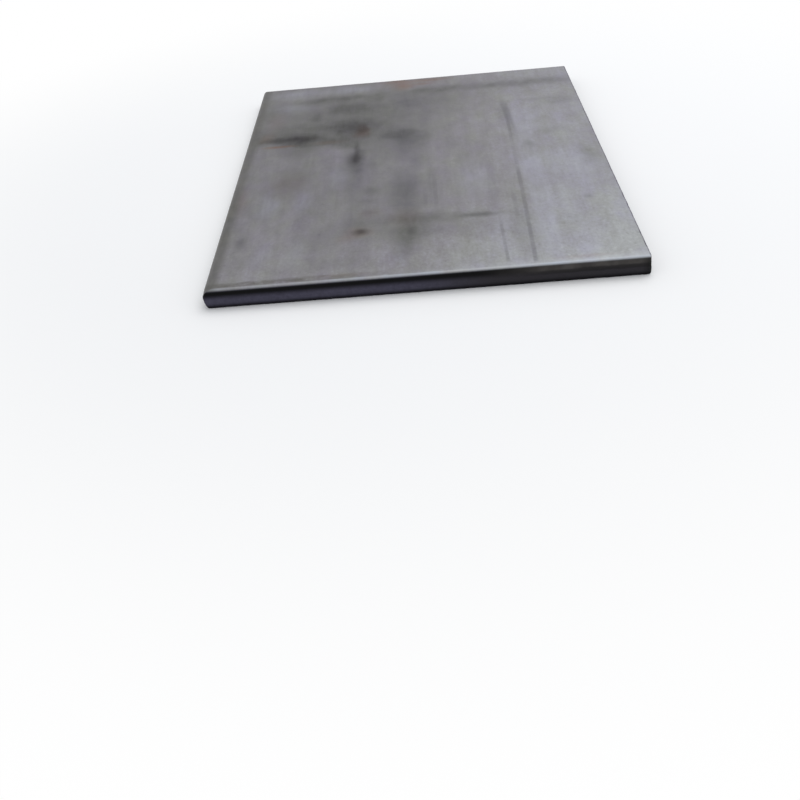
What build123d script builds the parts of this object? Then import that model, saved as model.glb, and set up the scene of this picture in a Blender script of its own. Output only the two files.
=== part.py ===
from build123d import *
from math import radians, tan
import os

# A hot-rolled steel plate, cut to size and lying flat.
# X runs across the plate, Y along the rolling direction and Z up.
# The origin is the centre of the underside. All lengths are in millimetres.

# Overall size
width = 205.0
length = 275.0
thickness = 10.0

# The left side is a mill edge, the round nose that rolling leaves.
# It stands out furthest at nose_drop below the top face.
nose_drop = 4.4
nose_top_reach = 3.4
nose_bottom_reach = 2.2

# The other three sides are sheared. From the face that the blade enters, a sheared edge has a
# rolled-over shoulder, an upright land that the blade cut, and a leaning face where the rest broke away.
rollover_reach = 1.8
rollover_depth = 1.0
land_height = 2.6
break_lean = 4.0

# The burr on the last corner to break is filed to a small bevel.
burr_bevel = 0.4

# The strip runs past the cuts at both ends, and the cuts run past both sides of the strip, by this much.
trim_allowance = thickness / 2

top = thickness
underside = 0.0


def mill_edge(outermost, side):
    """The nose's two quarter ellipses, from the top face round to the underside. side is 1 or -1."""
    nose_height = top - nose_drop
    upper_centre = (side * (outermost - nose_top_reach), nose_height)
    lower_centre = (side * (outermost - nose_bottom_reach), nose_height)
    upper = EllipticalCenterArc(upper_centre, nose_top_reach, nose_drop, 90, arc_size=-90 * side)
    lower = EllipticalCenterArc(
        lower_centre, nose_bottom_reach, nose_height - underside, 90 - 90 * side, arc_size=-90 * side
    )
    return upper + lower


def sheared_edge(outermost, side, entered, far):
    """A sheared edge, from the face at height entered to the face at height far. side is 1 or -1."""
    inward = 1 if far > entered else -1
    land_start = entered + inward * rollover_depth
    land_end = land_start + inward * land_height
    break_end = far - inward * burr_bevel
    lean = abs(break_end - land_end) * tan(radians(break_lean))
    shoulder = EllipticalCenterArc(
        (side * (outermost - rollover_reach), land_start),
        rollover_reach,
        rollover_depth,
        -90 * inward,
        arc_size=90 * inward * side,
    )
    cut_faces = Polyline(
        (side * outermost, land_start),
        (side * outermost, land_end),
        (side * (outermost - lean), break_end),
        (side * (outermost - lean - burr_bevel), far),
    )
    return shoulder + cut_faces


def closed_section(left, right):
    """A face bounded by a left and a right edge profile and the flat faces between their ends."""
    left_ends = left.vertices().sort_by(Axis.Y)
    right_ends = right.vertices().sort_by(Axis.Y)
    flat_underside = Line(left_ends[0], right_ends[0])
    flat_top = Line(left_ends[-1], right_ends[-1])
    return make_face(left + right + flat_underside + flat_top)


def rolled_strip():
    """The strip as it comes from the slitter: mill edge on the left, slit edge on the right."""
    half_width = width / 2
    mill_side = mill_edge(half_width, -1)
    slit_side = sheared_edge(half_width, 1, underside, top)
    strip_length = length + 2 * trim_allowance
    strip_end = Plane.XZ.offset(-strip_length / 2)
    return extrude(strip_end * closed_section(mill_side, slit_side), strip_length)


def cut_to_length():
    """What the shear keeps of the strip, with the blade coming down on the top face at both ends."""
    half_length = length / 2
    front = sheared_edge(half_length, -1, top, underside)
    back = sheared_edge(half_length, 1, top, underside)
    cut_width = width + 2 * trim_allowance
    cut_start = Plane.YZ.offset(-cut_width / 2)
    return extrude(cut_start * closed_section(front, back), cut_width)


plate = rolled_strip() & cut_to_length()

os.makedirs("parts", exist_ok=True)
export_step(plate, "parts/plate.step")
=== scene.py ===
# %% [markdown]
# # A piece of hot-rolled steel plate
#
# This lesson dresses a plain CAD plate as a real piece of stock: 10 mm plate, hot-rolled, slit and
# sheared to size, with a little of the dirt and rust that it picks up in a rack.
# The CAD model loads as a fixed frame, in metres, with +X across the plate,
# +Y along the rolling direction and +Z up. Everything below is built around that frame.

# %% Load the frame
import math

import bpy
import numpy as np
from mathutils import Matrix, Vector


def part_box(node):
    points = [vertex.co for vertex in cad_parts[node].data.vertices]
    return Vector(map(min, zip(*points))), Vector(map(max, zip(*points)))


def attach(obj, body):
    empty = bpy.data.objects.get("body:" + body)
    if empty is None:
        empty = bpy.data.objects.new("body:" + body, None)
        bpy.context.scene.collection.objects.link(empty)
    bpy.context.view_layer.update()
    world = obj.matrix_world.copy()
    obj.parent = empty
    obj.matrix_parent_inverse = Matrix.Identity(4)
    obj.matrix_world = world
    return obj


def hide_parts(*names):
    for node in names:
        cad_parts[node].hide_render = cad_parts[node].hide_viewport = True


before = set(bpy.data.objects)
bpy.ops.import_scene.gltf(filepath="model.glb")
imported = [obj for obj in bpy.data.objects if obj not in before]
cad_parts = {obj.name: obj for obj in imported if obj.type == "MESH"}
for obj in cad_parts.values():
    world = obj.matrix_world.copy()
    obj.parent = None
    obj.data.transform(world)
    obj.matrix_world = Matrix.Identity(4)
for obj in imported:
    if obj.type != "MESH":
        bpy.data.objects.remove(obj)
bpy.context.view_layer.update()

# %% [markdown]
# ## Sizes
#
# People who handle plate think in millimetres, so the script does too, and turns to metres only
# where a mesh or a lamp is made. The overall size comes from the frame. The rest describes the edges.
# A **mill edge** is the round nose that rolling leaves. A **sheared edge** has four bands, counted
# from the face that the blade enters: a rolled-over shoulder, an upright land that the blade cut, a
# rough leaning face where the steel tore, and a bevel where somebody filed off the burr.
# The front left upper corner has also taken a knock, which left it rounder for a few millimetres.

# %% The plate's sizes, in millimetres
MM = 0.001
lowest, highest = (Vector(corner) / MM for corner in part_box("plate"))
half_width = (highest.x - lowest.x) / 2
half_length = (highest.y - lowest.y) / 2
thickness = highest.z - lowest.z

nose_drop = 4.4
nose_top_reach = 3.4
nose_bottom_reach = 2.2
corner_knock = 2.6
knock_length = 6.0

shoulder_reach = 1.8
shoulder_depth = 1.0
land_height = 2.6
tear_slope = math.tan(math.radians(4.0))
roughens_within = 0.5
burr_bevel = 0.4

print(f"plate {2 * half_width:.0f} x {2 * half_length:.0f} x {thickness:.0f} mm")

# %% [markdown]
# ## Uneven, but the same each time
#
# No two millimetres of a rolled or torn edge are alike. The shapes below need smooth random heights
# that come out the same on each run. A small lattice of seeded random numbers does that: each place
# looks up its four nearest lattice points and blends them.

# %% Smooth random heights
LATTICE = 256


def unevenness(u, v, seed):
    """Smooth random heights between 0 and 1 at the places u, v, which are counted in lattice cells."""
    heights = np.random.default_rng(seed).random((LATTICE, LATTICE))
    cell_u, cell_v = np.floor(u).astype(int), np.floor(v).astype(int)
    part_u, part_v = u - cell_u, v - cell_v
    part_u = part_u * part_u * (3 - 2 * part_u)
    part_v = part_v * part_v * (3 - 2 * part_v)
    near_u, far_u = cell_u % LATTICE, (cell_u + 1) % LATTICE
    near_v, far_v = cell_v % LATTICE, (cell_v + 1) % LATTICE
    near = heights[near_u, near_v] * (1 - part_v) + heights[near_u, far_v] * part_v
    far = heights[far_u, near_v] * (1 - part_v) + heights[far_u, far_v] * part_v
    return near * (1 - part_u) + far * part_u


def swing(along, size, share, seed):
    """Smooth random shares, up to that much either way, in waves of that size along an edge."""
    return share * (2 * unevenness(along / size, 0 * along, seed) - 1)


def dents(along, up, depth, size, seed):
    """Smooth random dents, up to that depth, in spots of that size along and up an edge."""
    return depth * unevenness(along / size[0], up / size[1], seed)


print("first heights", np.round(unevenness(np.arange(4) / 3, np.zeros(4), seed=1), 3))

# %% [markdown]
# ## The edges as insets
#
# An edge is easiest to describe by how far it lies inside the plate's outermost line, at each height.
# One function does this for the nose and one for a sheared edge, so the four sides need only those two.
# On the real thing the shoulder bulges more in some places than in others, the land ends in a ragged
# line, and the torn face is rough with short upright ridges. The front end of the mill edge is knocked
# rounder. All of that only ever cuts inwards, so the plate never grows past its true size.

# %% How far each edge lies inside the outermost line
def quarter(part):
    """How far a quarter of a circle of radius 1 has turned in, from 0 at part 0 to 1 at part 1."""
    return 1 - np.sqrt(np.clip(1 - part * part, 0, 1))


def mill_inset(along, height):
    """The inset of the rolled nose, at places along the edge and heights above the underside."""
    nose_height = thickness - nose_drop
    above = np.clip((height - nose_height) / nose_drop, 0, 1)
    below = np.clip((nose_height - height) / nose_height, 0, 1)
    waves = dents(along, height, depth=0.10, size=(38, 9), seed=11)
    seams = dents(along, height, depth=0.05, size=(16, 0.9), seed=12)
    near_tip = 1 - np.maximum(above, below) ** 2
    from_front = half_length + along
    knocked = corner_knock * np.clip(1 - from_front / knock_length, 0, 1) ** 2
    upper = (nose_top_reach + knocked) * quarter(above)
    lower = nose_bottom_reach * quarter(below)
    return upper + lower + (waves + seams) * near_tip


def sheared_inset(along, depth, seed):
    """The inset of a sheared edge, at places along it and depths below the face that the blade enters."""
    bulge = 1 + swing(along, 21, 0.10, seed) + swing(along, 5, 0.05, seed + 1)
    ragged = 1 + swing(along, 13, 0.16, seed + 2) + swing(along, 2.4, 0.14, seed + 3)
    filing = 1 + swing(along, 3, 0.3, seed + 6)
    land_end = shoulder_depth + land_height * ragged
    turned_over = np.clip((shoulder_depth - depth) / shoulder_depth, 0, 1)
    shoulder = shoulder_reach * bulge * quarter(turned_over)
    torn = np.clip((depth - land_end) / roughens_within, 0, 1)
    ridges = dents(along, depth, depth=0.14, size=(1.5, 4), seed=seed + 4)
    lumps = dents(along, depth, depth=0.10, size=(3.1, 1.3), seed=seed + 5)
    leaning = np.clip(depth - land_end, 0, None) * tear_slope
    filed = np.clip(depth - (thickness - burr_bevel), 0, None) * filing
    return shoulder + leaning + torn * (ridges + lumps) + filed


places = np.linspace(-half_length, half_length, 6)
on_torn_face = np.full(len(places), 0.7 * thickness)
print("torn face insets, mm", np.round(sheared_inset(places, on_torn_face, seed=20), 2))

# %% [markdown]
# ## Where the mesh needs points
#
# A mesh of even squares would waste faces on the flat middle and starve the edges. The plate is built
# as a stack of closed rings, one above another, so two lists decide the whole mesh: the heights of the
# rings, close together where an edge curves, and the stations along a side, close together near the
# corners. Cosine steps crowd the rings next to the faces, where a quarter circle runs nearly level.

# %% Ring heights and stations
station_gap = 1.15
ring_gap = 0.5
rings_in_quarter = 13
corner_radius = 0.8
corner_steps = corner_radius * np.array([0, 0.25, 0.6, 1.0])


def ring_heights():
    """Heights from the underside to the top face, crowded at both."""
    turned = np.linspace(0, math.pi / 2, rings_in_quarter)
    near_face = shoulder_depth * (1 - np.cos(turned))
    middle = np.arange(shoulder_depth, thickness - shoulder_depth, ring_gap)[1:]
    return np.concatenate([near_face, middle, thickness - near_face[::-1]])


def stations(length):
    """Places along a side of that length, from 0 to 1, crowded at the corners."""
    inner = length - 2 * corner_radius
    count = round(inner / station_gap)
    middle = corner_radius + inner * np.arange(1, count) / count
    return np.concatenate([corner_steps, middle, length - corner_steps[::-1]]) / length


heights = ring_heights()
stations_across = stations(2 * half_width)
stations_along = stations(2 * half_length)
print(len(heights), "rings;", len(stations_across), "stations across and", len(stations_along), "along")

# %% [markdown]
# ## Rings and the top face
#
# At each height the plate is a rectangle whose four sides come from the insets above. The front and
# back were cut by a blade coming down, so their shoulder is at the top. The right side was slit from
# below, so its shoulder is at the bottom and its upper edge is the crisp, filed one. The sharp corner
# between two cut sides is rubbed round by handling, which a simple mapping from a square corner to a
# round one does for all points at once. The top face also sags and is pitted by a few hundredths of a
# millimetre. Both are patterns from the lattice, each read from its own start, and a pit is made only
# where its pattern is highest.

# %% Places of the ring points and of the top face's points
sag_depth, sag_size, sag_start = 0.05, (55, 80), 9
pit_depth, pit_size, pit_start = 0.07, (4.5, 7), 50
pit_level = 0.8


def sides(x, y, height):
    """The left, right, front and back lines of the plate near the places x, y at a height."""
    from_top, from_below = thickness - height, height
    left = -half_width + mill_inset(y, height)
    right = half_width - sheared_inset(y, from_below, seed=30)
    front = -half_length + sheared_inset(x, from_top, seed=20)
    back = half_length - sheared_inset(x, from_top, seed=40)
    return left, right, front, back


def rub_corners(x, y, height):
    """Moves points that lie in a square corner on to a round one."""
    left, right, front, back = sides(x, y, height)
    near_x, near_y = np.minimum(x - left, right - x), np.minimum(y - front, back - y)
    u, v = (np.clip(1 - near / corner_radius, 0, 1) for near in (near_x, near_y))
    inwards_x = corner_radius * u * (1 - np.sqrt(1 - v * v / 2))
    inwards_y = corner_radius * v * (1 - np.sqrt(1 - u * u / 2))
    return x - np.sign(x) * inwards_x, y - np.sign(y) * inwards_y


def sink(x, y):
    """How far the top face lies below its highest possible level: a slow sag, and small rolled-in pits."""
    sag = sag_depth * unevenness(x / sag_size[0] + sag_start, y / sag_size[1] + sag_start, seed=51)
    pitted = unevenness(x / pit_size[0] + pit_start, y / pit_size[1] + pit_start, seed=52)
    pits = pit_depth * np.clip(pitted - pit_level, 0, 1) / (1 - pit_level)
    return sag + pits


def grid_points(part_x, part_y, height):
    """Points of the rectangle at a height, at parts of its width and length from 0 to 1."""
    rough_x, rough_y = half_width * (2 * part_x - 1), half_length * (2 * part_y - 1)
    left, right, front, back = sides(rough_x, rough_y, height)
    x = left + part_x * (right - left)
    y = front + part_y * (back - front)
    x, y = rub_corners(x, y, height)
    towards_top = np.clip(2 * height / thickness - 1, 0, 1)
    return np.stack([x, y, height - towards_top * sink(x, y)], axis=-1)


def once_round():
    """The stations of one ring, anticlockwise from the front left corner, as parts of width and length."""
    right_going, back_going = stations_across[:-1], stations_along[:-1]
    zeros_x, zeros_y = np.zeros(len(right_going)), np.zeros(len(back_going))
    part_x = np.concatenate([right_going, zeros_y + 1, 1 - right_going, zeros_y])
    part_y = np.concatenate([zeros_x, back_going, zeros_x + 1, 1 - back_going])
    return part_x, part_y


round_x, round_y = once_round()
ring_size = len(round_x)
rings = np.stack([grid_points(round_x, round_y, np.full(ring_size, height)) for height in heights])
inner_x, inner_y = np.meshgrid(stations_across[1:-1], stations_along[1:-1], indexing="ij")
face_points = grid_points(inner_x, inner_y, np.full(inner_x.shape, thickness))
print("rings", rings.shape, "top face", face_points.shape)

# %% [markdown]
# ## One closed skin
#
# The rings and the grid of the top face become one closed mesh. The underside is a single flat polygon:
# it lies on the floor, and nothing is gained by cutting it up. Numbering is the whole trick here. The
# ring points come first, ring by ring, then the inner points of the top face, and a small table says
# which point sits at each crossing of the top grid.

# %% Faces of the skin
def band_faces():
    """The four-sided faces between each ring and the next one up."""
    faces = []
    for level in range(len(heights) - 1):
        low, high = level * ring_size, (level + 1) * ring_size
        for spot in range(ring_size):
            beside = (spot + 1) % ring_size
            faces.append((low + spot, low + beside, high + beside, high + spot))
    return faces


def top_numbers():
    """The point number at each crossing of the top grid, whose border is the uppermost ring."""
    count_x, count_y = len(stations_across), len(stations_along)
    numbers = np.zeros((count_x, count_y), dtype=int)
    start = (len(heights) - 1) * ring_size
    steps_x, steps_y = count_x - 1, count_y - 1
    numbers[:-1, 0] = start + np.arange(steps_x)
    numbers[-1, :-1] = start + steps_x + np.arange(steps_y)
    numbers[1:, -1] = start + steps_x + steps_y + np.arange(steps_x)[::-1]
    numbers[0, 1:] = start + 2 * steps_x + steps_y + np.arange(steps_y)[::-1]
    inner = np.arange((count_x - 2) * (count_y - 2)).reshape(count_x - 2, count_y - 2)
    numbers[1:-1, 1:-1] = len(heights) * ring_size + inner
    return numbers


def top_faces():
    """The four-sided faces of the top grid."""
    numbers = top_numbers()
    corners = [numbers[:-1, :-1], numbers[1:, :-1], numbers[1:, 1:], numbers[:-1, 1:]]
    return np.stack(corners, axis=-1).reshape(-1, 4).tolist()


points = np.concatenate([rings.reshape(-1, 3), face_points.reshape(-1, 3)])
underside = [tuple(range(ring_size))[::-1]]
crisp_from = math.radians(40)
mesh = bpy.data.meshes.new("plate_skin")
mesh.from_pydata((points * MM).tolist(), [], band_faces() + top_faces() + underside)
mesh.validate()
mesh.shade_smooth()
mesh.set_sharp_from_angle(angle=crisp_from)
skin = bpy.data.objects.new("plate_skin", mesh)
bpy.context.scene.collection.objects.link(skin)
triangles = sum(len(face.vertices) - 2 for face in mesh.polygons)
print("skin has", len(mesh.vertices), "points and", triangles, "triangles")

# %% [markdown]
# ## Telling the bands apart
#
# The finish has to know the worn shoulder from the dark land and the torn face. The shapes above
# already know, so each point is given a weight for each band, stored in the mesh as an attribute that
# a material can read. Only the rings have points on the sides: their stations say which side it is,
# and the depth below the face that the blade entered says which band.

# %% A weight for each band of the edges
def ramp(value, start, end):
    """0 at start, 1 at end, with a smooth change between."""
    part = np.clip((value - start) / (end - start), 0, 1)
    return part * part * (3 - 2 * part)


def on_side(is_there):
    """1 for the points of the rings where is_there, one value for each station, holds, and 0 elsewhere."""
    on_rings = np.tile(is_there, len(heights))
    return np.concatenate([on_rings, np.zeros(len(points) - len(on_rings))])


def band_weights():
    """Weights of the bands of the edges for all points of the skin."""
    x, _, z = points.T
    is_end = on_side((round_y == 0) | (round_y == 1))
    is_slit = on_side(round_x == 1) * (1 - is_end)
    on_cut = is_end + is_slit
    depth = np.where(is_slit > 0, z, thickness - z)
    land_end = shoulder_depth + land_height
    on_shoulder = ramp(depth, 0.02, 0.14) * ramp(depth, 1.05, 0.50)
    past_shoulder = ramp(depth, 0.40, 1.65)
    before_tear = ramp(depth, land_end + 2.4, land_end - 1.0)
    past_nose = x + half_width - nose_top_reach
    return {
        "shoulder": on_shoulder * is_end,
        "cut": past_shoulder * on_cut,
        "land": past_shoulder * before_tear * on_cut,
        # foot: the lowest millimetres, which the finish darkens with a little dirt and a painted contact
        # shadow.
        "foot": ramp(z, 2.6, 0.8),
        "nose": ramp(past_nose, 5.5, 1.0),
    }


for band, weights in band_weights().items():
    stored = mesh.attributes.new(band, "FLOAT", "POINT")
    stored.data.foreach_set("value", weights.astype(np.float32))
    print(band, "covers", int((weights > 0.5).sum()), "points")

# %% [markdown]
# ## Shader maths as plain sums
#
# A finish is mostly arithmetic on masks, and wiring it by hand hides the arithmetic. This small class
# holds one output of a shader node. Adding, taking away or multiplying two of them makes the Math node
# that does it, so `1 - mask * 0.5` can be written just so. All other nodes come from one method,
# `Wire.node`, which takes the node's type, its settings, and a value or a wire for each socket.

# %% The wire class
class Wire:
    """One output of a shader node. Arithmetic on wires adds Math nodes."""

    def __init__(self, socket):
        self.socket = socket

    @staticmethod
    def node(tree, kind, settings=None, inputs=None, output=0):
        """Adds a node with its settings, then its sockets' values or wires, and returns one output."""
        made = tree.nodes.new(kind)
        for name, value in (settings or {}).items():
            if name == "stops":
                set_stops(made.color_ramp, value)
            else:
                setattr(made, name, value)
        for name, value in (inputs or {}).items():
            if isinstance(value, Wire):
                tree.links.new(value.socket, made.inputs[name])
            else:
                made.inputs[name].default_value = value
        return Wire(made.outputs[output])

    def maths(self, operation, first, second):
        """A Math node for two values, each a wire or a number."""
        settings = {"operation": operation}
        return Wire.node(self.socket.id_data, "ShaderNodeMath", settings, {0: first, 1: second})

    def __add__(self, other):
        return self.maths("ADD", self, other)

    def __sub__(self, other):
        return self.maths("SUBTRACT", self, other)

    def __rsub__(self, other):
        return self.maths("SUBTRACT", other, self)

    def __mul__(self, other):
        return self.maths("MULTIPLY", self, other)

    __radd__ = __add__
    __rmul__ = __mul__

    def limited(self, lowest=0.0, highest=1.0):
        """The same value, kept between two limits."""
        above = self.maths("MAXIMUM", self, lowest)
        return self.maths("MINIMUM", above, highest)


def set_stops(colour_ramp, stops):
    """Gives a colour ramp its stops, each a position and a colour, from the lowest to the highest."""
    while len(colour_ramp.elements) < len(stops):
        colour_ramp.elements.new(0.5)
    for element, (position, colour) in zip(colour_ramp.elements, stops):
        element.position = position
        element.color = colour


def linear(value):
    """The light behind a screen value from 0 to 1, by the standard curve of screens."""
    return value / 12.92 if value <= 0.04045 else ((value + 0.055) / 1.055) ** 2.4


def seen(red, green, blue):
    """A colour as seen on a screen, from 0 to 255, turned into the linear light that Blender works in."""
    return tuple(linear(part / 255) for part in (red, green, blue)) + (1.0,)


print("mid grey", np.round(seen(128, 128, 128)[:3], 3))

# %% [markdown]
# ## Places and patterns on the plate
#
# The finish is drawn in millimetres on the plate itself, from Object coordinates, so that it stays put
# when the plate or the camera moves. Rolling drags everything out along the plate, so most of the
# patterns are noise that is stretched that way. Each seed moves the noise to another part of itself, so
# no two patterns are alike.

# %% Coordinates and stretched noise
seed_step = (17.3, 31.7, 5.1)
noise_gain = 3.2

finish = bpy.data.materials.new("mill_scale_finish")
finish.use_nodes = True


def node(kind, settings=None, inputs=None, output=0):
    """A node of the plate's finish."""
    return Wire.node(finish.node_tree, kind, settings, inputs, output)


def vector_maths(operation, first, second=(0.0, 0.0, 0.0), output=0):
    """A Vector Math node of the plate's finish."""
    return node("ShaderNodeVectorMath", {"operation": operation}, {0: first, 1: second}, output)


metres = node("ShaderNodeTexCoord", output="Object")
place = vector_maths("MULTIPLY", metres, (1 / MM, 1 / MM, 1 / MM))
across, along, height = (node("ShaderNodeSeparateXYZ", {}, {"Vector": place}, axis) for axis in range(3))


def drawn_out(size_across, size_along, seed, detail=3.0, rough=0.5, output=0):
    """Noise whose spots are that many millimetres across and along the plate. It centres on 0.5."""
    cells = vector_maths("MULTIPLY", place, (1 / size_across, 1 / size_along, 1 / size_across))
    moved = vector_maths("ADD", cells, tuple(seed * step for step in seed_step))
    inputs = {"Vector": moved, "Scale": 1.0, "Detail": detail, "Roughness": rough}
    return node("ShaderNodeTexNoise", {}, inputs, output)


def uneven(size_across, size_along, seed, detail=3.0, rough=0.5):
    """The same noise, spread to run from about -1 to 1."""
    return (drawn_out(size_across, size_along, seed, detail, rough) - 0.5) * noise_gain


def fade(value, start, end):
    """1 at start and 0 at end, with a smooth change between. It can run either way."""
    low, high, at_low, at_high = (start, end, 1.0, 0.0) if start < end else (end, start, 0.0, 1.0)
    limits = {"Value": value, "From Min": low, "From Max": high, "To Min": at_low, "To Max": at_high}
    return node("ShaderNodeMapRange", {"interpolation_type": "SMOOTHSTEP"}, limits)


def blend(amount, below, above):
    """A colour that goes from below, at amount 0, to above, at amount 1."""
    # The Mix node has a set of sockets for each type of data. These numbers are those for colours.
    return node("ShaderNodeMix", {"data_type": "RGBA"}, {0: amount, 6: below, 7: above}, 2)


print("coordinates take", len(finish.node_tree.nodes), "nodes, with the two that a new material has")

# %% [markdown]
# ## Patches and scratches
#
# All the marks on this plate are made of two shapes. A `patch` is a soft blot with a wandering outline:
# noise pushes the coordinates about before the distance from its middle is taken. Small patches are
# pushed less, or they would break up. A `scratch` is a line that may bow a little. It fades away from
# its middle line, and towards both of its ends.

# %% Patches and scratches
usual_stray = 0.25
small_mark = 6


def wander(size, reach, seed):
    """A push of about that many millimetres, which changes over that size."""
    stray = vector_maths("SUBTRACT", drawn_out(size, size, seed, output=1), (0.5, 0.5, 0.5))
    return vector_maths("MULTIPLY", stray, (reach / usual_stray, reach / usual_stray, 0.0))


gently = vector_maths("ADD", place, wander(size=7, reach=0.45, seed=2))
wandering = vector_maths("ADD", gently, wander(size=18, reach=2.6, seed=1))


def patch(at, half_size, firm=0.0):
    """A soft blot round a place. Within the firm part of its half size it is at full strength."""
    pushed = gently if min(half_size) < small_mark else wandering
    offset = vector_maths("SUBTRACT", pushed, (*at, 0.0))
    share = vector_maths("MULTIPLY", offset, (1 / half_size[0], 1 / half_size[1], 0.0))
    distance = vector_maths("LENGTH", share, output=1)
    return fade(distance, firm, 1.0)


def added_up(marks):
    """The sum of patches, each given by its place, its half size and its strength."""
    total = 0
    for at, half_size, strength in marks:
        total = total + patch(at, half_size) * strength
    return total


def scratch(start, end, reach, bow=0.0, fading=(0.15, 0.20)):
    """A line from start, nearer the front, to end, which reaches that far to each side.

    It bows by bow midway, and fades in and out over those parts of its length.
    """
    (start_across, start_along), (end_across, end_along) = start, end
    part = (along - start_along) * (1 / (end_along - start_along))
    straight = part * (end_across - start_across) + start_across
    off_line = across - (straight + part * (1 - part) * (4 * bow))
    ends = fade(part, fading[0], 0.0) * fade(part, 1 - fading[1], 1.0)
    return fade(off_line * off_line, 0.0, reach**2) * ends


print("drawing with", len(finish.node_tree.nodes), "nodes so far")

# %% [markdown]
# ## The rolled face
#
# Mill scale is the skin of blue-grey oxide that forms while the steel is still red hot. It is never one
# flat grey. One number, the tone, says how pale it is: a slow change over the plate, paler towards the
# right and the front, which is painted light, with clouds and mottle, and with long bands, soft streaks
# and grain along the rolling direction. Fine speckle and a few stronger flecks stand out most near the
# front. Flecks are noise times itself, twice, which leaves only its strongest spots, pale and dark. A
# second pattern says whether the scale leans to lilac, as thin oxide does, or to a plain grey, and it
# leans less to lilac where the painted light is strongest. Each of the two has its own ramp.

# %% Tone and hue of the rolled face
plain_scale = [(0.0, seen(66, 66, 66)), (0.5, seen(127, 127, 126)), (1.0, seen(173, 177, 180))]
lilac_scale = [(0.0, seen(68, 65, 73)), (0.5, seen(127, 124, 132)), (1.0, seen(170, 172, 188))]

# Painted light: the face is made paler towards the right and the front, as if more light fell there.
painted_light_right = fade(across, 105, -40)
painted_light_front = fade(along, -137, -30)
clouds = uneven(20, 36, seed=3, detail=4.0, rough=0.55)
mottle = uneven(7, 12, seed=17, detail=2.0)
bands = uneven(11, 75, seed=25, detail=2.0)
streaks = uneven(4, 60, seed=4)
grain = uneven(1.5, 12, seed=5, detail=3.0)
speckle = uneven(1.3, 1.9, seed=8, detail=3.0, rough=0.6)
edge_clouds = uneven(13, 13, seed=10, detail=2.0)
fleck_noise = uneven(2.6, 4.0, seed=23, detail=1.0)
flecks = fleck_noise * fleck_noise * fleck_noise

back_left_tone = 0.355
tone = back_left_tone + 0.25 * painted_light_right + 0.12 * painted_light_front
tone = tone + clouds * 0.062 + mottle * 0.056 + bands * 0.040 + streaks * 0.048 + grain * 0.034
tone = tone + flecks * (0.02 + 0.08 * painted_light_front + 0.06 * painted_light_right)
tone = tone + speckle * (0.056 + 0.032 * painted_light_front + 0.022 * painted_light_right)

lilac = 0.48 + 0.60 * uneven(14, 34, seed=13, detail=2.0) + 0.40 * uneven(6, 10, seed=24)
lilac = (lilac - 0.30 * painted_light_front * painted_light_right).limited()
plain_colour = node("ShaderNodeValToRGB", {"stops": plain_scale}, {"Fac": tone})
lilac_colour = node("ShaderNodeValToRGB", {"stops": lilac_scale}, {"Fac": tone})
scale_colour = blend(lilac, plain_colour, lilac_colour)
print("tone and hue wired;", len(finish.node_tree.nodes), "nodes")

# %% [markdown]
# ## Marks from handling
#
# Each plate carries its own history. The next cells draw this one's, each mark listed by its place
# across and along the plate from its centre, its half size both ways, and its strength. They could be
# painted on an image, but a list needs no picture file and is easy to change. Marks of one kind share
# one colour, so they are added up into one mask before the colour is blended in. All of them lie on the
# upper face and run a little way down the edges.

# %% How far down the marks run
marks_full_to, marks_gone_at = 2.0, 4.0
upper = fade(height, thickness - marks_full_to, thickness - marks_gone_at)
print("marks fade out from", marks_full_to, "to", marks_gone_at, "mm below the top face")

# %% [markdown]
# ## Oil
#
# The broadest mark is an oily shade towards the back on the left. The darker places in it, the streak
# across the front half and the two shades beside it come from the same oil.

# %% Oily shades
oil = added_up([
    ((-42, 73), (92, 66), 0.80),
    ((-40, 40), (66, 22), 0.50),
    ((-41, 88), (20, 15), 0.75),
    ((-52, 108), (40, 8), 0.50),
    ((-60, 76), (6, 14), 0.40),
    ((-56, 35), (30, 9), 0.55),
    ((-62, 49), (46, 24), 0.40),
    ((-80, 48), (38, 26), 0.56),
    ((-93, 94), (12, 26), 0.54),
    ((-95, 47), (9, 22), 0.50),
    ((-70, 23), (20, 18), 0.66),
    ((-14, 78), (30, 44), 0.24),
    ((20, 90), (36, 34), 0.26),
    ((-14, 14), (44, 28), 0.28),
    ((-6, 24), (15, 18), 0.54),
    ((5, 28), (6, 11), 0.50),
    ((-8, 36), (19, 11), 0.50),
    ((-47, 36), (26, 12), 0.60),
    ((-39, 27), (18, 9), 0.56),
    ((-34, 16), (12, 18), 0.34),
    ((-55, 104), (46, 9), 0.36),
    ((-25, 109), (9, 17), 0.55),
    ((-71, -22), (17, 30), 0.60),
    ((8, 111), (36, 12), 0.62),
    ((60, 111.5), (74, 10), 0.48),
    ((50, 108), (90, 28), 0.30),
    ((86, 71), (20, 9), 0.40),
    ((92, 110), (24, 14), 0.22),
    ((-9, -89), (24, 28), 0.66),
    ((-8, -50), (17, 42), 0.54),
    ((-2, -79), (44, 9), 0.26),
    ((22, -90), (36, 22), 0.26),
    ((-26, -42), (8, 10), 0.60),
    ((-26, -55), (7, 8), 0.44),
    ((-5, -94), (8, 12), 0.42),
    ((-46, -92), (24, 22), 0.30),
    ((-53, -108), (5, 26), 0.26),
    ((-40, -120), (24, 14), 0.25),
    ((30, -81), (18, 4.2), 0.60),
    ((8, -80), (28, 9), 0.34),
    ((94, -16), (11, 25), 0.42),
    ((53, 58), (5.8, 34), 0.36),
    ((49, -95), (9, 50), 0.30),
    ((-32, -81), (15, 24), 0.52),
    ((-9, -108), (11, 25), 0.72),
    ((2, -94), (14, 14), 0.30),
    ((62.5, 4), (6, 10), 0.50),
    ((80, 24), (14, 12), 0.20),
    ((78, 78), (30, 5), 0.22),
    ((84.5, -70), (4, 4.5), 0.45),
    ((73, -94), (12, 9), 0.22),
    ((21, 13), (8, 8), 0.28),
]).limited() * upper
print("oil wired;", len(finish.node_tree.nodes), "nodes")

# %% [markdown]
# ## Heat tint
#
# Where the scale was heated again it turned a soft violet, mostly in long marks down the middle.

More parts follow.
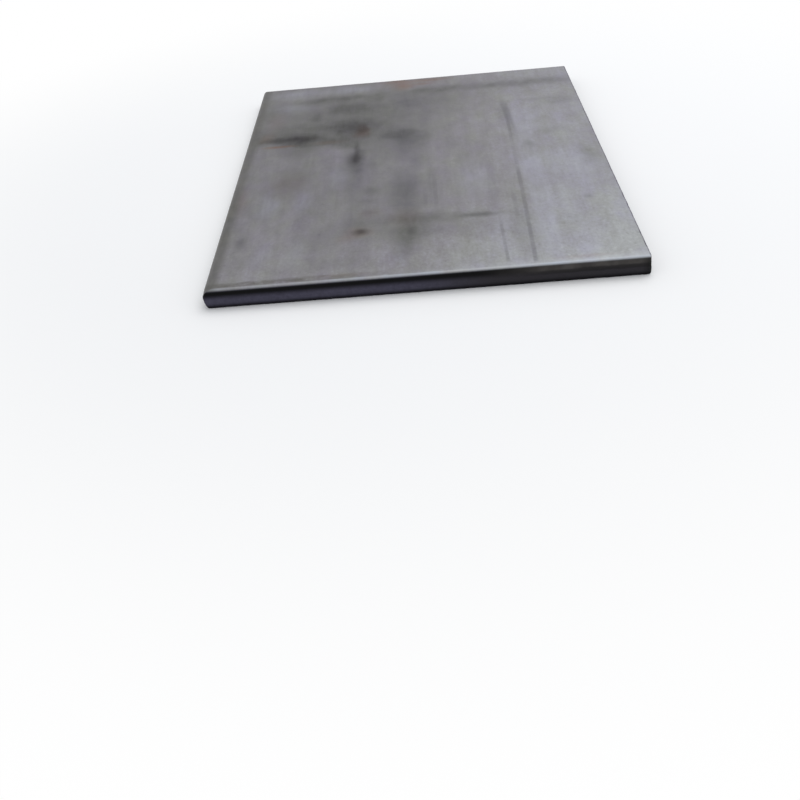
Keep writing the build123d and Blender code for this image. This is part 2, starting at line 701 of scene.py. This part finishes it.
# %% Violet heat marks
violet = added_up([
    ((-34.5, -9), (16, 22), 0.80),
    ((-35.5, -30), (9, 28), 0.46),
    ((-89.5, -93), (4.5, 12), 0.80),
    ((-8, -42), (14, 60), 0.24),
    ((-6, -49), (11, 50), 0.46),
    ((6, -41), (4, 40), 0.35),
    ((-10, 35), (22, 28), 0.66),
    ((-6, 17), (12, 28), 0.66),
    ((-1, -8), (5.8, 18), 0.62),
    ((-13, -28), (5.8, 18), 0.36),
    ((5.5, 60), (5.8, 32), 0.42),
    ((2, 93), (28, 24), 0.40),
    ((-6, 94), (11, 24), 0.50),
    ((-34, -50), (6, 40), 0.25),
    ((62, 110), (60, 9), 0.30),
]).limited() * upper
print("heat tint wired;", len(finish.node_tree.nodes), "nodes")

# %% [markdown]
# ## Soot and grease
#
# The black marks are smears within the oily shade, a dark drop with the streak that ran from it, and a
# few single spots.

# %% Black smears, a drop and spots
soot = added_up([
    ((-73, 41), (25, 15), 0.54),
    ((-71, 40), (10, 11), 0.28),
    ((-82, 42), (14, 8), 0.34),
    ((-63, 42), (13, 9), 0.32),
    ((-69, 33), (7, 8), 0.28),
    ((-38, 57), (28, 17), 0.54),
    ((-43, 47), (11, 11), 0.26),
    ((-34.5, 52), (10, 16), 0.10),
    ((-33.5, 46), (7.5, 15), 0.42),
    ((-45, 36), (20, 10), 0.30),
    ((-34.5, -11), (5.9, 13), 0.22),
    ((-26, -41), (5.6, 6), 0.08),
    ((-27, -69), (5.6, 7), 0.14),
    ((-90, -91), (3.2, 6), 0.12),
    ((-37.0, 3), (5.9, 15), 0.54),
    ((-33.4, 5), (5.9, 18), 0.60),
    ((-35, 20), (3.0, 18), 0.45),
    ((-10, 36), (17, 13), 0.28),
    ((-40, 89), (22, 16), 0.28),
    ((-62, 110), (12, 7), 0.26),
    ((-43, 109), (15, 6), 0.22),
    ((-5, -92.5), (4, 8), 0.34),
    ((-30.3, -90.4), (6.4, 5.6), 0.74),
    ((30, -82), (13, 4.0), 0.20),
    ((-61, 77), (5, 12), 0.28),
]).limited() * upper
print("soot wired;", len(finish.node_tree.nodes), "nodes")

# %% [markdown]
# ## Rust
#
# Rust has only begun: a blush at the back edge, a thin line beside the smear on the left, and faint
# brown places under some of the black marks.

# %% Rust
rust = added_up([
    ((-72, -24), (15, 26), 0.10),
    ((-38, -133), (20, 3.0), 0.14),
    ((-8, -77), (14, 16), 0.12),
    ((-36, -97), (7, 7), 0.16),
    ((-82, 32), (15, 3.4), 0.75),
    ((-90, 47), (8, 14), 0.25),
    ((-33.5, 47), (7.5, 16), 0.46),
    ((-26, -70), (9, 9), 0.12),
    ((-87, 74), (10, 24), 0.14),
    ((-7, 124), (11, 13), 0.50),
    ((-2, 128), (32, 13), 0.22),
    ((-11, 133), (16, 6), 0.50),
    ((12, 132), (22, 5.0), 0.50),
    ((7, 125), (10, 4.0), 0.35),
    ((-52, 33), (16, 5), 0.20),
    ((-95, -42), (6, 26), 0.22),
    ((-30, -90.4), (10, 9), 0.34),
    ((74, -133), (24, 3.0), 0.25),
]).limited() * upper
print("rust wired;", len(finish.node_tree.nodes), "nodes")

# %% [markdown]
# ## The long scratch
#
# Something heavy was dragged along one line. The scratch is broad, dark and soft at the back, thins to
# a hair at the front, and the scale is paler along its right. A scratch catches light as well as dirt,
# so its mask is kept by itself: the bump further down uses it again.

# %% Scratches and rubbed places
skips = (0.78 + 0.60 * uneven(20, 12, seed=21)).limited(0.10, 1.0)
barely_touched = patch((54, -2), (20, 34), 0.2)
long_scratch = scratch((50.6, -137), (55.2, 76), 1.4, bow=0.5, fading=(0.02, 0.30)) * skips
long_scratch = long_scratch * (1 - 0.65 * barely_touched)
scratch_head = scratch((56.4, 10), (54.6, 84), 2.9, bow=0.6, fading=(0.60, 0.25))
fine_scratches = (
    scratch((38.4, -135), (38.6, -86), 1.1, fading=(0.10, 0.30)) * 0.26
    + scratch((47.2, -88), (48.2, -47), 1.6) * 0.16
    + scratch((36.6, -82), (40.6, -6), 3.4, fading=(0.4, 0.4)) * 0.14
    + scratch((8.0, -82), (8.4, -16), 1.5, fading=(0.3, 0.4)) * 0.24
    + scratch((2.6, -72), (3.2, -36), 1.6, fading=(0.3, 0.4)) * 0.20
) * skips
scratches = (long_scratch * 0.34 + scratch_head * 0.34 + fine_scratches).limited() * upper

rub_border = patch((77, -39), (32, 33), 0.80) * fade(along, -21, -53)
rubbed = (
    scratch((60.0, -132), (63.0, 80), 7.5) * 0.50
    + patch((83, -31), (24, 20), 0.2) * 0.22
    + rub_border * 0.30
    + added_up([
        ((-78, 124), (26, 14), 0.54),
        ((-42, 125), (26, 13), 0.66),
        ((-76, 92), (16, 9), 0.30),
        ((-80, -52), (9, 24), 0.60),
        ((-61, -50), (9, 20), 0.42),
        ((-44, -20), (9, 22), 0.36),
        ((30, -36), (14, 40), 0.46),
        ((72, 50), (7, 24), 0.36),
        ((78, -52), (24, 26), 0.22),
        ((75, -104), (9, 32), 0.26),
        ((-80, 100), (24, 12), 0.40),
        ((-78, -109), (8, 20), 0.34),
        ((-61, -109), (8, 22), 0.34),
    ])
).limited() * upper
print("scratches wired;", len(finish.node_tree.nodes), "nodes")

# %% [markdown]
# ## Colour of the face, from the steel up
#
# Real dirt lies in layers, and so do these blends: first the scale, then where it is rubbed paler, then
# oil and heat tint, and on top rust, soot and scratches. Blotchy noise thins most layers, because a rag
# or a glove never wipes evenly. Just behind the front shoulder the face is worn pale on the right, and
# on the left a line of dirt has gathered there.

# %% Layers on the rolled face
wiped = (0.80 + 0.22 * clouds + 0.16 * streaks + 0.10 * grain + 0.22 * uneven(6, 9, seed=14)).limited()
blotches = uneven(5, 2.6, seed=15)

behind_front = along + half_length
dirt_line_at, dirt_line_reach = 2.9, 3.5
from_dirt_line = behind_front - dirt_line_at + 0.9 * uneven(11, 11, seed=22, detail=3.0)
dirt_line = fade(from_dirt_line * from_dirt_line, 0.0, dirt_line_reach**2)
dirt_line = dirt_line * fade(across, -62, 2) * fade(behind_front, 2.1, 0.7) * upper
dirt_share = 0.44 + 0.36 * blotches - 0.20 * flecks
worn_share = (0.20 * fade(across, 95, -50) + 0.05 * edge_clouds).limited()
worn = fade(behind_front, 2.5, 7.0) * worn_share * upper


def layered(colour, layers):
    """The colour with layers blended over it in turn. Each is how much of it shows, and its own colour."""
    for name, (amount, layer_colour) in layers.items():
        colour = blend(amount, colour, layer_colour)
        print("over that,", name)
    return colour


face = layered(scale_colour, {
    "places rubbed pale": (rubbed * wiped * 0.45, seen(170, 172, 190)),
    "oil": (oil * wiped * 0.78, seen(74, 75, 71)),
    "heat tint": (violet * wiped * 0.70, seen(76, 75, 83)),
    "the line of dirt": ((dirt_line * dirt_share).limited(), seen(68, 65, 54)),
    "the worn strip": (worn, seen(190, 194, 201)),
    "rust": (rust * (0.30 + 0.35 * wiped), seen(122, 84, 58)),
    "soot": (soot * (0.45 + 0.50 * wiped), seen(38, 35, 37)),
    "scratches": (scratches, seen(60, 59, 68)),
})
print("face colour has", len(finish.node_tree.nodes), "nodes")

# %% [markdown]
# ## Colour of the edges
#
# The shoulder is rubbed bright by every glove and strap that passes over it, and its pale colour is also a
# painted highlight. Below it the land is nearly black, partly dark oxide and partly a painted dark
# reflection, and melts into the dull purple-grey of the torn face, which is partly painted shade. The foot
# of each cut is darker again, with a little dirt and a painted contact shadow.
# Towards the right the front is duller, with a brown smear along the land and a dark seam below it, and
# its last few millimetres are nearly black. The mill edge, and a strip of the top beside it, are a darker
# olive grey. The bands come from the weights stored in the mesh, and noise varies the colour inside most
# of them.

# %% Layers on the edges
def weight(band):
    """The weight of a band of the edges, as stored in the mesh."""
    return node("ShaderNodeAttribute", {"attribute_name": band}, output="Fac")


shoulder, cut, land, foot, nose = (weight(band) for band in ("shoulder", "cut", "land", "foot", "nose"))
edge_speckle = uneven(1.6, 1.6, seed=9)
scuffs = uneven(9, 0.5, seed=16, detail=2.0)
at_front = fade(behind_front, 1.0, 1.8)
browner = fade(across, 72, 22) * at_front
duller = fade(across, 36, -14) * at_front
right_end = fade(half_width - across, 0.9, 5.1) * at_front

seam_height, seam_reach = 5.4, 1.5
from_seam = height - seam_height + 0.4 * scuffs
seam = fade(from_seam * from_seam, 0.0, seam_reach**2) * browner

near_nose = (nose * (0.75 + 0.35 * edge_clouds + 0.15 * streaks)).limited()
nose_shade = (0.5 + 0.5 * edge_clouds + 0.3 * mottle + 0.2 * grain).limited()
nose_colour = blend(nose_shade, seen(65, 65, 61), seen(99, 98, 95))
# The land's near black is dark oxide and a painted dark reflection; the brown towards the right is a
# smear.
land_colour_with_painted_reflection = blend((browner * (0.90 + 0.5 * scuffs)).limited(), seen(8, 8, 9), seen(76, 73, 71))
# The torn face's purple-grey is oxide, darkened with painted shade because the cut faces stand upright
# under light from above.
torn_colour_with_painted_shade = blend((0.5 + 0.35 * edge_speckle).limited(), seen(62, 60, 73), seen(80, 78, 94))
torn_colour_with_painted_shade = blend(duller, torn_colour_with_painted_shade, seen(50, 48, 52))

# The shoulder's pale colour is wear and a painted highlight, strongest towards the right.
highlight_and_wear_strength = 0.52 - 0.27 * fade(across, -100, 30) + 0.15 * edge_clouds
highlight_and_wear = (shoulder * highlight_and_wear_strength).limited()
highlight_and_wear_colour = blend((0.5 + 0.8 * edge_clouds).limited(), seen(162, 162, 160), seen(156, 165, 177))

coloured = layered(face, {
    "the mill edge": (near_nose, nose_colour),
    "the torn faces, with painted shade": (cut, torn_colour_with_painted_shade),
    "the lands, with their painted dark reflection": (land, land_colour_with_painted_reflection),
    "the dark seam": (seam * cut * 0.6, seen(20, 19, 20)),
    # The foot is darkened by a little dirt and a painted contact shadow.
    "the dirty foot of the cuts and its painted shadow": (foot * cut * 0.90, seen(16, 15, 18)),
    "the dark right end": (right_end * cut * 0.65, seen(17, 18, 17)),
    "the worn shoulder and its painted highlight": (highlight_and_wear, highlight_and_wear_colour),
})
print("edge colours wired;", len(finish.node_tree.nodes), "nodes")

# %% [markdown]
# ## Gloss and fine relief
#
# Scale is a hard, half-glossy skin, so it reflects a little like metal, but softly. Soot, rust and the
# cut faces are duller. The shoulder is no glossier than the face, but it is round, so some part of it
# always shows the lamp. The relief that is too fine for the mesh, such as the rolling grain, the speckle
# and the scratches, is a bump.

# %% Roughness, metal and bump
dull = (rust * 0.6 + soot + cut).limited()
roughness = 0.50 + clouds * 0.03 + grain * 0.02 + speckle * 0.02 + dull * 0.20
metal = (0.55 - dull * 0.55 - highlight_and_wear * 0.15).limited()

torn = cut * (1 - land)
relief = grain * 0.20 + streaks * 0.15 + speckle * (0.18 + 0.25 * painted_light_front)
relief = relief + edge_speckle * torn * 0.9 - scratches + soot * 0.2
bump = node("ShaderNodeBump", {}, {"Height": relief, "Strength": 0.5, "Distance": 0.10 * MM})

steel = finish.node_tree.nodes["Principled BSDF"]
steel.inputs["IOR"].default_value = 1.5
steel.inputs["Specular IOR Level"].default_value = 0.1
finished = {
    "Base Color": coloured,
    "Roughness": roughness.limited(0.25, 0.9),
    "Metallic": metal,
    "Normal": bump,
}
for socket, wire in finished.items():
    finish.node_tree.links.new(wire.socket, steel.inputs[socket])
print("the finish has", len(finish.node_tree.nodes), "nodes")

# %% [markdown]
# ## Dress the frame
#
# The skin takes the place of the plain CAD node, rides on the same body, and carries the finish.
# The CAD node stays in the file, hidden, for collision.

# %% Put the skin in place
mesh.materials.append(finish)
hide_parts("plate")
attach(skin, "root")

# %% [markdown]
# ## Floor and backdrop
#
# The plate lies on a plain pale floor. Near the plate the floor is a real surface, so that it keeps the
# plate's shadow. Further out it melts into plain white, and there the world is the same white. Without
# that, low views would show a line where the floor ends.

# %% A pale floor that melts into white
floor_radius = 6.0
melting_from, melting_to = 0.15, 0.42

bpy.ops.mesh.primitive_circle_add(vertices=128, radius=floor_radius, fill_type="NGON", location=(0, 0, 0))
floor = bpy.context.object
floor.name = "floor"

floor_finish = bpy.data.materials.new("pale_floor")
floor_finish.use_nodes = True
floor_tree = floor_finish.node_tree
paper = floor_tree.nodes["Principled BSDF"]
paper.inputs["Base Color"].default_value = (0.95, 0.95, 0.95, 1.0)
paper.inputs["Roughness"].default_value = 0.9
paper.inputs["Specular IOR Level"].default_value = 0.0


def seen_directly(tree):
    """1 for rays that show the background: from the camera, in a reflection or through glass."""
    from_camera, in_gloss, through_glass = (
        Wire.node(tree, "ShaderNodeLightPath", output=ray)
        for ray in ("Is Camera Ray", "Is Glossy Ray", "Is Transmission Ray")
    )
    return (from_camera + in_gloss + through_glass).limited()


floor_place = Wire.node(floor_tree, "ShaderNodeTexCoord", output="Object")
distance = Wire.node(floor_tree, "ShaderNodeVectorMath", {"operation": "LENGTH"}, {0: floor_place}, 1)
limits = {"Value": distance, "From Min": melting_from, "From Max": melting_to}
melted = Wire.node(floor_tree, "ShaderNodeMapRange", {"interpolation_type": "SMOOTHSTEP"}, limits)
white = Wire.node(floor_tree, "ShaderNodeEmission", {}, {"Color": (1, 1, 1, 1), "Strength": 1.0})
either_floor = {0: melted * seen_directly(floor_tree), 1: Wire(paper.outputs[0]), 2: white}
floor_surface = Wire.node(floor_tree, "ShaderNodeMixShader", {}, either_floor)
floor_tree.links.new(floor_surface.socket, floor_tree.nodes["Material Output"].inputs["Surface"])
floor.data.materials.append(floor_finish)
print("floor radius", floor_radius, "m")

# %% [markdown]
# ## Light
#
# Flat steel shows only what is around it, so the light is large and soft: an even, pale world, and one
# big softbox overhead, a little to the back and right, which draws the bright line along the front
# shoulder and gives the plate its soft shadow. The levels add up to about one, so a colour renders
# about as written.

# %% World and softbox
world = bpy.data.worlds.new("studio")
bpy.context.scene.world = world
world.use_nodes = True
sky = world.node_tree
even_light = sky.nodes["Background"]
even_light.inputs["Color"].default_value = (0.95, 0.97, 1.0, 1.0)
even_light.inputs["Strength"].default_value = 0.66
plain_white = Wire.node(sky, "ShaderNodeBackground", {}, {"Color": (1, 1, 1, 1), "Strength": 1.0})
either_sky = {0: seen_directly(sky), 1: Wire(even_light.outputs[0]), 2: plain_white}
sky_surface = Wire.node(sky, "ShaderNodeMixShader", {}, either_sky)
sky.links.new(sky_surface.socket, sky.nodes["World Output"].inputs["Surface"])


def softbox(name, at, size, watts, colour):
    """A square lamp at a place in metres, turned to face the plate."""
    lamp = bpy.data.lights.new(name, "AREA")
    lamp.size = size
    lamp.energy = watts
    lamp.color = colour
    holder = bpy.data.objects.new(name, lamp)
    facing = Vector(at).to_track_quat("Z", "Y").to_matrix().to_4x4()
    holder.matrix_world = Matrix.Translation(at) @ facing
    bpy.context.scene.collection.objects.link(holder)


softbox("softbox_overhead", at=(0.35, 0.30, 1.30), size=1.3, watts=9.0, colour=(1.0, 1.0, 1.0))

# %% [markdown]
# ## Camera
#
# The photograph looks down on the plate from the front. Its camera was found by matching the plate's
# corners: it stands a little over half a metre in front of the plate's centre, tilts down by about
# 36 degrees, and is held about 6 degrees off level. A lens of 44.7 mm on a 36 mm sensor gives its
# field of view for a square picture.

# %% The camera
camera_at = Vector((3.7, -535.0, 225.4)) * MM
turn, tilt_down, roll = (math.radians(angle) for angle in (2.98, 35.57, -5.94))
lens_mm, sensor_mm = 44.66, 36.0

lens = bpy.data.cameras.new("camera")
lens.lens = lens_mm
lens.sensor_width = sensor_mm
lens.clip_start = 0.01
camera = bpy.data.objects.new("camera", lens)
turned = Matrix.Rotation(turn, 4, "Z")
tilted = Matrix.Rotation(math.pi / 2 - tilt_down, 4, "X")
rolled = Matrix.Rotation(roll, 4, "Z")
camera.matrix_world = Matrix.Translation(camera_at) @ turned @ tilted @ rolled
bpy.context.scene.collection.objects.link(camera)
bpy.context.scene.camera = camera
bpy.context.scene.view_settings.view_transform = "Standard"
print("camera at", [round(value, 3) for value in camera_at], "m")
